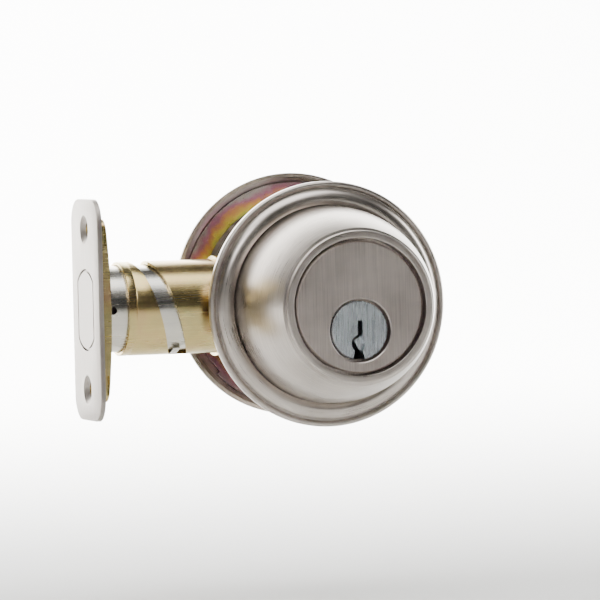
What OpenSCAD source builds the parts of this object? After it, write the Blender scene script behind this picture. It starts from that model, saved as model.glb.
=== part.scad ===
// Deadbolt door lock: keyed cylinder outside, thumbturn inside, adjustable-backset bolt between.
// Frame: the origin is the centre of the door's cross bore, +Z is up, -Y is outdoors,
// +Y is indoors, and the bolt throws along -X. Everything is in millimetres.

/* [Door] */
// Thickness of the door that the lock clamps
door_t = 30; // [29:1:45]
// Backset: cross bore centre to the faceplate's front face
backset = 60.3; // [58:0.1:74]
// Backset gained when the bolt's front end is drawn out and turned half round
backset_gain = 9.525; // [8:0.005:10]
// Height of the inside rose's centre above the cross bore's centre
inside_lift = 2; // [0:0.5:2]

/* [Trim] */
// Diameter of both roses
rose_d = 63.5; // [62:0.5:76]
// Thickness of the sheet that the inside rose is pressed from
rose_wall = 1; // [0.8:0.1:1.2]
// How far the guard collar stands out of the door
collar_proj = 28.5; // [23:0.1:34.5]
// Diameter of the guard collar at its foot
collar_base_d = 51; // [50.6:0.1:53]
// Diameter of the raised lip at the guard collar's mouth
collar_lip_d = 40; // [39:0.1:42]
// How far the inside rose stands out of the door
inside_rose_proj = 8.5; // [8:0.5:11]
// Thickness of the support plate
support_t = 1.1; // [0.9:0.1:1.2]
// Height of the thumbturn's grip
turn_h = 32; // [24:1:38]
// How far the thumbturn's grip stands out of its base
turn_out = 13; // [10:1:18]

/* [Cylinder] */
// Diameter of the cylinder's visible face
cyl_face_d = 33.7; // [32:0.1:34]
// Diameter of the cylinder housing's body
cyl_body_d = 36.6; // [36:0.1:37]
// Distance of the key plug's axis below the cross bore's centre
plug_drop = 6; // [5.5:0.1:6.2]
// Diameter of the key plug
plug_d = 14.9; // [12.5:0.1:15]
// Diameter of the pins and their chambers
pin_d = 2.9; // [2.4:0.1:3]
// Distance between neighbouring pins
pin_pitch = 3.96; // [3.6:0.01:4]
// Number of pin chambers
pin_count = 6; // [3:1:6]

/* [Bolt] */
// Throw of the bolt
bolt_throw = 25.4; // [21:0.1:25.4]
// Diameter of the round bolt
bolt_d = 20.6; // [16:0.1:21]
// Distance between the two flats on the bolt
bolt_flats = 14.6; // [12:0.1:15]
// Wall of the front tube
tube_wall = 0.7; // [0.6:0.1:1]
// Wall of the outer sleeve
sleeve_wall = 0.8; // [0.6:0.1:1]
// Diameter of the rod behind the bolt
stem_d = 6; // [5:0.1:7]

/* [Faceplate] */
// Height of the faceplate
face_h = 57.15; // [54:0.05:70]
// Width of the faceplate
face_w = 25.4; // [25:0.1:31]
// Corner radius of the faceplate
face_r = 6.35; // [3:0.05:8]
// Thickness of the faceplate
face_t = 1.3; // [1:0.1:2.5]
// Distance between the two faceplate screw holes
screw_span = 41.3; // [38:0.1:46]
// Diameter of each faceplate screw hole
screw_hole_d = 4.4; // [3.5:0.1:5]

/* [Hidden] */
$fn = 64;

// Clearances
run_gap = 0.05;
slip_gap = 0.15;
free_gap = 0.3;
eps = 0.02;

// Colours
nickel = "#a89f98";
steel = "#b9bcc0";
zinc_gold = "#c9b68a";
dark_steel = "#6f7074";
brass = "#c8a35a";

// Door faces and the turning axis
out_y = -door_t / 2;
in_y = door_t / 2;
axis_z = -plug_drop;

// Crank: a quarter turn of its arm, half each side of upright, gives the bolt's throw
turn_angle = 90;
crank_r = bolt_throw / (2 * sin(turn_angle / 2));
crank_pin_d = 4;
crank_arm_t = 3;
crank_arm_w = 4.8;
hub_r = 5.8;
hub_len = 14.8;
pin_rest_x = bolt_throw / 2;
pin_rest_z = axis_z + crank_r * cos(turn_angle / 2);
crank_top_z = axis_z + crank_r + crank_arm_w / 2;

// Case around the crank: two half shells
case_wall = 0.8;
case_half_w = 6.6;
case_bottom_z = axis_z - hub_r - 0.8 - case_wall;
case_top_z = crank_top_z + 0.04;
fork_lag = 0.65;
fork_wall = 2;
fork_half = crank_pin_d / 2 + fork_lag;
case_back_x = pin_rest_x + fork_half + fork_wall + 1.2 + case_wall;
case_front_x = -20;
rivet_r = 1.5;
rivet_spots = [[case_front_x + 4, case_bottom_z + 3.6], [case_back_x - 4, case_bottom_z + 3.6]];

// Screws that pull the outside and the inside together, just clear of the crank
through_r = 2.4;
through_z = crank_top_z + 0.6 + through_r;
post_r = through_r + 1.1;
post_len = 6;
thread_gap = 0.05;

// Outside rose: a flat foot, a bead at the rim and a broad rounded band
rose_r = rose_d / 2;
rose_foot_t = 1;
rose_bore_r = through_z + post_r + free_gap;
bead_r = 0.8;
groove_w = 0.35;
crease_gap = 0.3;
band_in_r = collar_base_d / 2 + crease_gap;
band_out_r = rose_r - 2 * bead_r - groove_w;
band_h = 3.3;

// Guard collar
collar_wall = 1.7;
collar_foot_d = rose_foot_t + slip_gap;
lip_h = 1.1;
lip_bore_r = cyl_face_d / 2 + 0.75;
lip_t = 3.4;
shoulder_r = rose_bore_r + 1.7;
shoulder_h = 2;

// Cylinder housing and key plug, measured outwards from the door's outside face
face_recess = 0.5;
face_edge = 0.4;
plug_edge = 0.2;
housing_face = collar_proj - face_recess;
housing_tail = -1.5;
nose_start = collar_proj - lip_t - free_gap;
plug_r = plug_d / 2;
plug_recess = 0.5;
plug_face = housing_face - plug_recess;
plug_bore_r = plug_r + run_gap;
first_pin = 5.9;
chamber_r = pin_d / 2 + run_gap;
driver_len = 4.8;
spring_len = 5.8;
driver_low = plug_r + 0.3;
spring_low = driver_low + driver_len + 0.05;
cap_low = spring_low + spring_len + 0.05;
cap_h = 1.5;
cap_w = 5;
drill_pin_x = 4.2;
drill_pin_r = 1.2;
drill_pin_cover = 2.4;
drill_pin_len = 10.6;
key_lengths = [4.8, 5.9, 4.2, 6.3, 5.2, 5.6];

// Plug's tail end, the cap on it and the tailpiece, measured outwards too
neck_r = 5.2;
neck_end = housing_tail - 2.7;
dog_h = 0.9;
dog_gap = 0.1;
dog_angle = 45;
cap_r = plug_bore_r + 0.7;
cap_start = housing_tail - 0.1;
cap_end = housing_tail - 5.6;
disc_r = neck_r + 0.4;
disc_t = 0.7;
disc_face = neck_end - dog_h - dog_gap;
blade_w = 2.4;
blade_h = 6;
blade_gap = 0.15;

// Inside parts, measured from the door's inside face
inside_top = inside_rose_proj;
rose_under = support_t + 0.15;
plate_r = rose_r - rose_wall - 1.5;
spindle_r = 5;
bushing_r = 6.9;
bushing_flange_r = 8.6;
bushing_flange_t = 0.6;
turn_base_start = inside_top + bushing_flange_t + 0.2;
turn_base_t = 2.5;
turn_base_r = 10.5;
turn_grip_t = 7;
spindle_start = 2.4;
spindle_end = turn_base_start + 7;
turn_boss_r = spindle_r + 1.6;
turn_boss_end = spindle_end + 1.2;
clip_start = 4.6;
clip_t = 0.8;
clip_groove_r = 4.3;
clip_r = 7.6;
washer_t = 0.8;
rose_screw_x = 14.5;
rose_screw_r = 1.7;
rose_screw_head_r = 3.3;

// Bolt front end, along X
face_front_x = -backset;
face_back_x = face_front_x + face_t;
plate_gap = 0.1;
backing_front_x = face_back_x + plate_gap;
backing_h = 47;
backing_w = face_w - 1.8;
backing_edge_t = 1;
backing_bow = 1.2;
tube_bore_r = bolt_d / 2 + slip_gap;
tube_r = tube_bore_r + tube_wall;
sleeve_bore_r = tube_r + 0.2;
sleeve_r = sleeve_bore_r + sleeve_wall;
tube_back_x = face_front_x + 29.3;
ring_len = 1.5;
sleeve_front_x = face_front_x + 8.3;
sleeve_back_x = case_front_x - 2;
head_len = bolt_throw + 8.6;
head_back_x = face_front_x + head_len;
pocket_r = stem_d / 2 + 0.2;
stem_back_x = -9.4;
socket_front_x = head_back_x + 0.5;
socket_back_x = -9;
socket_r = stem_d / 2 + run_gap + 1.55;
tail_plate_y = crank_arm_t / 2 + free_gap;
tail_plate_t = 1.8;

// Helical slot in the sleeve and the tab of the front tube that rides in it.
// Angles start at the outdoors side and grow upwards.
slot_mid_x = face_front_x + 18.7;
slot_rise = 0.062;
slot_half_w = 2.4;
slot_start = -84;
slot_bend = 80;
slot_end = 127;
slot_step = 8;
tab_angle = -69;
tab_half_w = 0.9;
tab_half_a = 10;
tab_lead = 0.65;

// Point on a circle
function on_circle(r, a) = [r * cos(a), r * sin(a)];
// Arc of points from angle a to angle b
function arc(c, r, a, b, n) = [for (i = [0:n]) c + on_circle(r, a + (b - a) * i / n)];
// Centre of the helical slot along X at an angle round the sleeve
function slot_x(a) = slot_mid_x - slot_rise * min(a, slot_bend);

// Round bar along Y from y0 to y1
module y_bar(r, y0, y1) {
    translate([0, y0, 0])
        rotate([-90, 0, 0])
            cylinder(r = r, h = y1 - y0);
}

// Round bar along Y with its outdoors end chamfered
module chamfered_bar(r, y0, y1, edge) {
    y_bar(r, y0 + edge, y1);
    translate([0, y0, 0])
        rotate([-90, 0, 0])
            cylinder(r1 = r - edge, r2 = r, h = edge);
}

// Round bar along X from x0 to x1
module x_bar(r, x0, x1) {
    translate([x0, 0, 0])
        rotate([0, 90, 0])
            cylinder(r = r, h = x1 - x0);
}

// Turns a profile of radius and outward distance about the lock's axis, outdoors side
module lathe_out() {
    translate([0, out_y, 0])
        rotate([90, 0, 0])
            rotate_extrude($fn = 96)
                children();
}

// The same on the indoors side
module lathe_in() {
    translate([0, in_y, inside_lift])
        rotate([-90, 0, 0])
            rotate_extrude($fn = 96)
                children();
}

// Bar on the plug's axis, from distance d0 to d1 outwards of the door's outside face
module plug_bar(r, d0, d1) {
    translate([0, 0, axis_z])
        y_bar(r, out_y - d1, out_y - d0);
}

// Bar on the same axis, from distance d0 to d1 inwards of the door's inside face
module turn_bar(r, d0, d1) {
    translate([0, 0, axis_z])
        y_bar(r, in_y + d0, in_y + d1);
}

// Rounded rectangle centred on the origin
module round_rect(w, h, r) {
    square([w - 2 * r, h], center = true);
    square([w, h - 2 * r], center = true);
    for (x = [-1, 1], y = [-1, 1])
        translate([x * (w / 2 - r), y * (h / 2 - r)])
            circle(r);
}

// Flat wedge from angle a to angle b, out to radius r
module wedge(r, a, b) {
    polygon(concat([[0, 0]], arc([0, 0], r / cos((b - a) / 4), a, b, 2)));
}

// Pin positions along Y
function pin_y(i) = out_y - plug_face + first_pin + i * pin_pitch;

// Outside rose: pressed disc that covers the cross bore, with a bead, a groove and a band
module outside_rose() {
    crest_r = band_in_r + 1.4;
    round_r = band_out_r - crest_r + 0.25;
    color(nickel)
        lathe_out() {
            translate([rose_bore_r, 0])
                square([rose_r - bead_r - rose_bore_r, rose_foot_t]);
            translate([rose_r - 2 * bead_r, 0])
                square([2 * bead_r, bead_r]);
            translate([rose_r - bead_r, bead_r])
                circle(bead_r);
            intersection() {
                translate([crest_r, band_h - round_r])
                    circle(round_r);
                translate([band_in_r, 0])
                    square([band_out_r - band_in_r, band_h]);
            }
        }
}

// Guard collar: tapered domed collar that turns freely, so that it can't be wrenched off
module guard_collar() {
    base_r = collar_base_d / 2;
    lip_r = collar_lip_d / 2;
    dome_h = collar_proj - lip_h - collar_foot_d - 0.8;
    dome_r = (pow(base_r - lip_r, 2) + pow(dome_h, 2)) / (2 * (base_r - lip_r));
    dome_c = [base_r - dome_r, collar_foot_d + 0.8];
    sweep = asin(dome_h / dome_r);
    outer = arc(dome_c, dome_r, 0, sweep, 14);
    inner = arc(dome_c, dome_r - collar_wall, sweep * 0.62, 0, 9);
    bore_r = cyl_body_d / 2 + 2 * run_gap;
    color(nickel)
        lathe_out()
            polygon(concat(
                [[base_r - collar_wall, collar_foot_d], [base_r, collar_foot_d]],
                outer,
                [[lip_r - 0.5, collar_proj - lip_h], [lip_r - 0.5, collar_proj - 0.3],
                 [lip_r - 0.8, collar_proj], [lip_bore_r + 0.2, collar_proj],
                 [lip_bore_r, collar_proj - 0.2], [lip_bore_r, collar_proj - lip_t],
                 [bore_r, collar_proj - lip_t], [bore_r, inner[0][1]]],
                inner));
}

// Cylinder housing: cast body with the plug bore, pin chambers and the two screw posts
module cylinder_housing() {
    body_r = cyl_body_d / 2;
    mouth_r = plug_bore_r + 0.65;
    mouth_depth = 3.6;
    mouth_edge = 0.2;
    drill_pin_low = axis_z + plug_r + 2;
    color(nickel)
        difference() {
            union() {
                chamfered_bar(cyl_face_d / 2, out_y - housing_face, out_y - nose_start, face_edge);
                y_bar(body_r, out_y - nose_start, out_y - housing_tail);
                y_bar(shoulder_r, out_y - rose_foot_t - eps - shoulder_h, out_y - rose_foot_t - eps);
                for (s = [-1, 1])
                    translate([0, 0, s * through_z])
                        y_bar(post_r, out_y - 3, out_y - housing_tail + post_len);
            }
            // plug bore and its counterbored mouth
            plug_bar(plug_bore_r, housing_tail - 1, housing_face + 1);
            plug_bar(mouth_r, housing_face - mouth_depth, housing_face + 1);
            translate([0, out_y - housing_face - eps, axis_z])
                rotate([-90, 0, 0])
                    cylinder(r1 = mouth_r + mouth_edge, r2 = mouth_r, h = mouth_edge);
            // room for the cap behind the plug
            plug_bar(cap_r + 0.2, cap_end - 5, housing_tail);
            // pin chambers and the slot for their cap
            for (i = [0:pin_count - 1])
                translate([0, pin_y(i), axis_z])
                    cylinder(r = chamber_r, h = body_r * 2);
            translate([-cap_w / 2, pin_y(0) - chamber_r - 0.5, axis_z + cap_low])
                cube([cap_w, pin_y(pin_count - 1) - pin_y(0) + 2 * chamber_r + 1, body_r * 2]);
            // blind holes for the anti-drill pins
            for (s = [-1, 1])
                translate([s * drill_pin_x, 0, drill_pin_low])
                    y_bar(drill_pin_r, out_y - housing_face + drill_pin_cover, out_y - housing_tail + 1);
            // threaded holes for the through bolts
            for (s = [-1, 1])
                translate([0, 0, s * through_z])
                    y_bar(through_r + thread_gap, out_y - 1, out_y - housing_tail + post_len + 1);
        }
}

// Strip pressed in over the pin chambers
module chamber_cap() {
    length = pin_y(pin_count - 1) - pin_y(0) + 2 * chamber_r + 1;
    color(brass)
        translate([-cap_w / 2, pin_y(0) - chamber_r - 0.5, axis_z + cap_low])
            cube([cap_w, length, cap_h]);
}

// Hardened pins beside the chambers, which turn a drill aside
module anti_drill_pins() {
    start = out_y - housing_face + drill_pin_cover;
    color(dark_steel)
        for (s = [-1, 1])
            translate([s * drill_pin_x, 0, axis_z + plug_r + 2])
                y_bar(drill_pin_r, start, start + drill_pin_len);
}

// Outline of the keyway's mouth, on the plug's axis, X across and Z up
module keyway_mouth() {
    polygon([[-0.55, 2.5], [0.75, 2.5], [0.75, -0.9], [0.4, -1.6], [1, -2.5], [1.4, -3.5],
             [1.1, -4.4], [0.6, -5.1], [0.75, -5.9], [1.1, -6.6], [1.2, -plug_r - 1],
             [-2.1, -plug_r - 1], [-1.8, -6.7], [-1.5, -5.2], [-2.1, -4.2], [-2.3, -3.3],
             [-2, -2.2], [-1.2, -1.4], [-0.55, -1.1]]);
}

// The key's way behind the mouth, where a ward fills the bulge's right side
module keyway() {
    polygon([[-0.55, 2.5], [0.75, 2.5], [0.75, -0.9], [0.3, -1.7], [-1.2, -2.6], [0, -4.8],
             [0.6, -5.2], [0.75, -5.9], [1.1, -6.6], [1.2, -plug_r - 1],
             [-2.1, -plug_r - 1], [-1.8, -6.7], [-1.5, -5.2], [-2.1, -4.2], [-2.3, -3.3],
             [-2, -2.2], [-1.2, -1.4], [-0.55, -1.1]]);
}

// Pair of driving dogs on the plug's axis, starting at angle a, from distance d0 to d1
module dogs(a, d0, d1) {
    translate([0, out_y - d0, axis_z])
        rotate([90, 0, 0])
            linear_extrude(d1 - d0)
                intersection() {
                    difference() {
                        circle(neck_r - 0.3);
                        circle(2.2);
                    }
                    for (s = [0, 180])
                        wedge(neck_r + 1, a + s, a + s + dog_angle - 1);
                }
}

// Key plug: keyway, pin holes, and a threaded neck with two driving dogs
module key_plug() {
    keyway_len = plug_face - housing_tail + 1;
    mouth_depth = 1.2;
    color(steel)
        difference() {
            union() {
                translate([0, 0, axis_z])
                    chamfered_bar(plug_r, out_y - plug_face, out_y - housing_tail, plug_edge);
                plug_bar(neck_r, neck_end, housing_tail);
                dogs(20, neck_end - dog_h, neck_end);
            }
            translate([0, out_y - housing_tail + 1, axis_z])
                rotate([90, 0, 0])
                    linear_extrude(keyway_len + 1)
                        keyway();
            translate([0, out_y - plug_face + mouth_depth, axis_z])
                rotate([90, 0, 0])
                    linear_extrude(mouth_depth + 1)
                        keyway_mouth();
            for (i = [0:pin_count - 1])
                translate([0, pin_y(i), axis_z - 0.6])
                    cylinder(r = chamber_r, h = plug_r * 2);
        }
}

// Bottom pins, lifted to the shear line as the right key holds them
module bottom_pins() {
    top = plug_r - 0.25;
    tip = 0.8;
    color(brass)
        for (i = [0:pin_count - 1])
            translate([0, pin_y(i), axis_z + top - key_lengths[i]]) {
                cylinder(r1 = pin_d / 4, r2 = pin_d / 2, h = tip);
                translate([0, 0, tip])
                    cylinder(d = pin_d, h = key_lengths[i] - tip);
            }
}

// Driver pins, each just above the shear line
module driver_pins() {
    color(steel)
        for (i = [0:pin_count - 1])
            translate([0, pin_y(i), axis_z + driver_low])
                cylinder(d = pin_d, h = driver_len);
}

// Springs that press the drivers down, as the hollow cylinders that their coils fill
module pin_springs() {
    color(steel)
        for (i = [0:pin_count - 1])
            translate([0, pin_y(i), axis_z + spring_low])
                difference() {
                    cylinder(r = pin_d / 2 - 0.1, h = spring_len);
                    translate([0, 0, -1])
                        cylinder(r = pin_d / 2 - 0.5, h = spring_len + 2);
                }
}

// Cap screwed on the plug's neck: it holds the plug in and keeps the tailpiece's disc
module plug_cap() {
    color(steel)
        difference() {
            plug_bar(cap_r, cap_end, cap_start);
            plug_bar(neck_r + thread_gap, neck_end, cap_start + 1);
            plug_bar(disc_r + slip_gap, cap_end + 1, neck_end + eps);
            plug_bar(blade_h / 2 + 1.2, cap_end - 1, cap_start);
        }
}

// Tailpiece: disc with two dogs and a flat blade that runs to the thumbturn
module tailpiece() {
    blade_end = in_y + spindle_end - 2;
    color(steel) {
        plug_bar(disc_r, disc_face - disc_t, disc_face);
        dogs(20 + dog_angle, disc_face - eps, disc_face + dog_h);
        translate([-blade_w / 2, out_y - disc_face + disc_t / 2, axis_z - blade_h / 2])
            cube([blade_w, blade_end - (out_y - disc_face + disc_t / 2), blade_h]);
    }
}

// Faceplate: round-cornered plate with a hole for the bolt and two countersunk screw holes
module faceplate() {
    color(nickel)
        difference() {
            translate([face_front_x, 0, 0])
                rotate([90, 0, 90])
                    linear_extrude(face_t)
                        round_rect(face_w, face_h, face_r);
            bolt_bar(face_front_x - 1, face_back_x + 1, 0.25);
            for (s = [-1, 1])
                translate([0, 0, s * screw_span / 2]) {
                    x_bar(screw_hole_d / 2, face_front_x - 1, face_back_x + 1);
                    translate([face_front_x - eps, 0, 0])
                        rotate([0, 90, 0])
                            cylinder(
                                r1 = screw_hole_d / 2 + face_t * 1.3,
                                r2 = screw_hole_d / 2,
                                h = face_t * 0.85);
                }
        }
}

// Round bar with two flats along X, grown all round by a gap
module bolt_bar(x0, x1, gap) {
    intersection() {
        x_bar(bolt_d / 2 + gap, x0, x1);
        translate([x0, -bolt_flats / 2 - gap, -bolt_d])
            cube([x1 - x0, bolt_flats + 2 * gap, 2 * bolt_d]);
    }
}

// Backing plate: bowed plate behind the faceplate, riveted to the front tube
module backing_plate() {
    bow_r = pow(backing_h / 2, 2) / (2 * backing_bow) + backing_bow / 2;
    back_x = backing_front_x + backing_edge_t + backing_bow;
    notch_h = 5;
    color(zinc_gold)
        difference() {
            intersection() {
                translate([backing_front_x, 0, 0])
                    rotate([90, 0, 90])
                        linear_extrude(backing_edge_t + backing_bow)
                            round_rect(backing_w, backing_h, 3);
                translate([back_x - bow_r, 0, 0])
                    y_bar(bow_r, -face_w, face_w, $fn = 360);
            }
            x_bar(tube_r + eps, backing_front_x - 1, back_x + 1);
            for (s = [-1, 1]) {
                translate([0, 0, s * screw_span / 2])
                    x_bar(screw_hole_d / 2, backing_front_x - 1, back_x + 1);
                for (y = [-1, 1])
                    translate([backing_front_x + 0.4, y * backing_w / 2 - 0.8,
                               s * (screw_span / 2 - 1.5) - notch_h / 2])
                        cube([0.7, 1.6, notch_h]);
            }
        }
}

// Front tube: carries the faceplate, guides the bolt and slides in the sleeve
module front_tube() {
    tab_x = slot_x(tab_angle) - tab_lead;
    color(steel)
        difference() {
            union() {
                x_bar(tube_r, backing_front_x, tube_back_x);
                // lanced tab that rides in the helical slot
                intersection() {
                    x_bar(sleeve_r - 0.1, tab_x - tab_half_w, tab_x + tab_half_w);
                    sector(tab_angle - tab_half_a, tab_angle + tab_half_a, tab_x - 5, tab_x + 5);
                }
            }
            x_bar(tube_bore_r, backing_front_x - 1, tube_back_x + 1);
            translate([face_front_x + 4.2, 0, 0])
                y_bar(1.05, -tube_r - 1, 0);
        }
}

// Sector of the space round the X axis, between two angles round the sleeve
module sector(a, b, x0, x1) {
    translate([x0, 0, 0])
        rotate([90, 0, 90])
            linear_extrude(x1 - x0)
                wedge(sleeve_r + 5, 180 - b, 180 - a);
}

// Ring that drags along the sleeve behind the front tube and holds its setting
module slide_ring() {
    color(dark_steel)
        difference() {
            x_bar(sleeve_bore_r - run_gap, tube_back_x + 0.1, tube_back_x + 0.1 + ring_len);
            x_bar(tube_bore_r + 0.1, tube_back_x - 1, tube_back_x + ring_len + 2);
        }
}

// Cutter for the helical slot: a band of four-sided rings that follows the slot's centre
module slot_cutter() {
    steps = round((slot_end - slot_start) / slot_step);
    in_r = sleeve_bore_r - 1;
    far_r = sleeve_r + 1;
    corners = [[in_r, -slot_half_w], [in_r, slot_half_w], [far_r, slot_half_w], [far_r, -slot_half_w]];
    points = [for (i = [0:steps], c = corners)
        let (a = slot_start + (slot_end - slot_start) * i / steps)
            [slot_x(a) + c[1], -c[0] * cos(a), c[0] * sin(a)]];
    sides = [for (i = [0:steps - 1], k = [0:3])
        [4 * i + k, 4 * i + (k + 1) % 4, 4 * i + 4 + (k + 1) % 4, 4 * i + 4 + k]];
    ends = [[3, 2, 1, 0], [4 * steps, 4 * steps + 1, 4 * steps + 2, 4 * steps + 3]];
    polyhedron(points, concat(sides, ends));
}

// Outer sleeve: tube fixed to the case, with the helical slot for the front tube's tab
module outer_sleeve() {
    color(zinc_gold)
        difference() {
            x_bar(sleeve_r, sleeve_front_x, sleeve_back_x);
            x_bar(sleeve_bore_r, sleeve_front_x - 1, sleeve_back_x + 1);
            slot_cutter();
        }
}

// Bolt head: steel bar with two flats, bored from behind for the roller and the stem
module bolt_head() {
    edge = 0.4;
    color(nickel)
        difference() {
            union() {
                bolt_bar(face_front_x, face_front_x + edge, -edge);
                bolt_bar(face_front_x + edge, head_back_x, 0);
            }
            x_bar(pocket_r, face_front_x + 5, head_back_x + 1);
        }
}

// Hardened roller that spins inside the bolt and defeats a saw
module bolt_roller() {
    color(dark_steel)
        x_bar(pocket_r - run_gap, face_front_x + 5.1, head_back_x - 4);
}

// Stem pressed into the bolt's back: it slides in the tail when the backset changes
module bolt_stem() {
    color(steel) {
        x_bar(pocket_r, head_back_x - 3.9, head_back_x);
        x_bar(stem_d / 2, head_back_x - 1, stem_back_x);
    }
}

// Bolt tail: socket for the stem and a fork on each side of the crank's arm
module bolt_tail() {
    fork_front = pin_rest_x - fork_half - fork_wall;
    fork_back = pin_rest_x + fork_half + fork_wall;
    plate_low = axis_z + hub_r + 1;
    plate_high = 6;
    fork_top = axis_z + crank_r + 0.6;
    color(steel)
        difference() {
            union() {
                x_bar(socket_r, socket_front_x, socket_back_x);
                for (s = [-1, 1])
                    translate([0, s * (tail_plate_y + tail_plate_t / 2) - tail_plate_t / 2, 0]) {
                        translate([socket_back_x - 6, 0, plate_low])
                            cube([fork_back - socket_back_x + 6, tail_plate_t, plate_high - plate_low]);
                        translate([fork_front, 0, plate_low])
                            cube([fork_back - fork_front, tail_plate_t, fork_top - plate_low]);
                    }
            }
            x_bar(stem_d / 2 + run_gap, socket_front_x - 1, socket_back_x + 1);
            translate([pin_rest_x - fork_half, -case_half_w, pin_rest_z - crank_pin_d / 2 - 0.5])
                cube([2 * fork_half, 2 * case_half_w, 2 * crank_r]);
        }
}

// Half shell of the case on the outdoors side; the other half is its mirror image
module case_half() {
    inner = case_half_w - case_wall;
    length = case_back_x - case_front_x;
    difference() {
        union() {
            // side plate
            translate([case_front_x, -case_half_w, case_bottom_z])
                cube([length, case_wall, case_top_z - case_bottom_z]);
            // floor and back
            translate([case_front_x, -case_half_w, case_bottom_z])
                cube([length, case_half_w - eps, case_wall]);
            translate([case_back_x - case_wall, -case_half_w, case_bottom_z])
                cube([case_wall, case_half_w - eps, case_top_z - case_bottom_z]);
            // end wall and collar that hold the sleeve
            intersection() {
                difference() {
                    x_bar(sleeve_r + case_wall + eps, sleeve_back_x - 4, case_front_x + case_wall);
                    x_bar(sleeve_r + eps, sleeve_back_x - 5, sleeve_back_x + eps);
                    translate([sleeve_back_x - 1, -inner, -socket_r - 1])
                        cube([10, 2 * inner, socket_r + 1 + 8]);
                }
                translate([sleeve_back_x - 5, -2 * sleeve_r, -2 * sleeve_r])
                    cube([20, 2 * sleeve_r - eps, 4 * sleeve_r]);
            }
        }
        translate([0, 0, axis_z])
            y_bar(hub_r + run_gap, -case_half_w - 1, 0);
        for (p = rivet_spots)
            translate([p[0], 0, p[1]])
                y_bar(rivet_r + run_gap, -case_half_w - 1, -1);
        // rounded lower back corner
        translate([case_back_x - 3, -case_half_w - 1, case_bottom_z])
            corner_cut(3, case_half_w + 2);
    }
}

// What a round of radius r leaves of a square corner, for rounding the lower back edge
module corner_cut(r, depth) {
    translate([0, 0, -eps])
        difference() {
            cube([r + eps, depth, r + eps]);
            translate([0, -1, r + eps])
                y_bar(r, 0, depth + 2);
        }
}

module case_outer() {
    color(zinc_gold)
        case_half();
}

module case_inner() {
    color(zinc_gold)
        mirror([0, 1, 0])
            case_half();
}

// Rivets that space the case halves and hold them together
module case_rivets() {
    color(steel)
        for (p = rivet_spots)
            translate([p[0], 0, p[1]]) {
                y_bar(rivet_r, -case_half_w - 0.02, case_half_w + 0.02);
                for (s = [-1, 1])
                    y_bar(rivet_r + 0.8, s * (case_half_w + 0.32) - 0.3, s * (case_half_w + 0.32) + 0.3);
            }
}

// Crank: hub with a slot for the tailpiece's blade, and the arm that throws the bolt
module crank() {
    arm_len = crank_r;
    color(steel)
        difference() {
            translate([0, 0, axis_z])
                rotate([0, turn_angle / 2, 0]) {
                    y_bar(hub_r, -hub_len / 2, hub_len / 2);
                    translate([-crank_arm_w / 2, -crank_arm_t / 2, 0])
                        cube([crank_arm_w, crank_arm_t, arm_len]);
                    translate([0, 0, arm_len])
                        y_bar(crank_arm_w / 2, -crank_arm_t / 2, crank_arm_t / 2);
                }
            translate([-blade_w / 2 - blade_gap, -hub_len, axis_z - blade_h / 2 - blade_gap])
                cube([blade_w + 2 * blade_gap, 2 * hub_len, blade_h + 2 * blade_gap]);
            translate([pin_rest_x, 0, pin_rest_z])
                y_bar(crank_pin_d / 2 - 0.6, -crank_arm_t, crank_arm_t);
        }
}

// Pin riveted through the crank's arm, one shoulder in each fork
module crank_pin() {
    reach = tail_plate_y + tail_plate_t + 0.1;
    color(dark_steel)
        translate([pin_rest_x, 0, pin_rest_z]) {
            y_bar(crank_pin_d / 2 - 0.6, -crank_arm_t / 2 - 0.1, crank_arm_t / 2 + 0.1);
            for (s = [0, 1])
                mirror([0, s, 0])
                    y_bar(crank_pin_d / 2, crank_arm_t / 2, reach);
        }
}

// Flat spring under the crank's hub
module detent_spring() {
    top = axis_z - hub_r - 0.25;
    strip_t = 0.4;
    color(dark_steel)
        translate([-9, -4, top - strip_t])
            cube([18, 8, strip_t]);
}

// Support plate: disc on the door's inside face that takes the through bolts
module support_plate() {
    window_in = 15.5;
    window_out = 24.4;
    color(zinc_gold)
        difference() {
            translate([0, in_y, inside_lift])
                rotate([-90, 0, 0])
                    linear_extrude(support_t)
                        difference() {
                            circle(plate_r);
                            for (a = [20, 115, 200, 295])
                                intersection() {
                                    difference() {
                                        circle(window_out);
                                        circle(window_in);
                                    }
                                    wedge(window_out + 2, a, a + 45);
                                }
                            rotate(143.5)
                                translate([plate_r - 1.2, -4])
                                    square([3, 8]);
                        }
            for (s = [-1, 1]) {
                translate([0, 0, s * through_z])
                    y_bar(through_r + free_gap, in_y - 1, in_y + support_t + 1);
                translate([s * rose_screw_x, 0, inside_lift])
                    y_bar(rose_screw_r + thread_gap, in_y - 1, in_y + support_t + 1);
            }
            turn_bar(spindle_r + 1, -1, support_t + 1);
        }
}

// Bolts that pass through the door and thread into the cylinder housing
module through_bolts() {
    tip_y = out_y + 1.5;
    head_r = 4;
    head_h = 2.8;
    color(steel)
        for (s = [-1, 1])
            translate([0, 0, s * through_z]) {
                y_bar(through_r, tip_y, in_y + support_t + 0.5);
                difference() {
                    y_bar(head_r, in_y + support_t + eps, in_y + support_t + head_h);
                    y_bar(1.5, in_y + support_t + 1, in_y + support_t + head_h + 1, $fn = 6);
                }
            }
}

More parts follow.
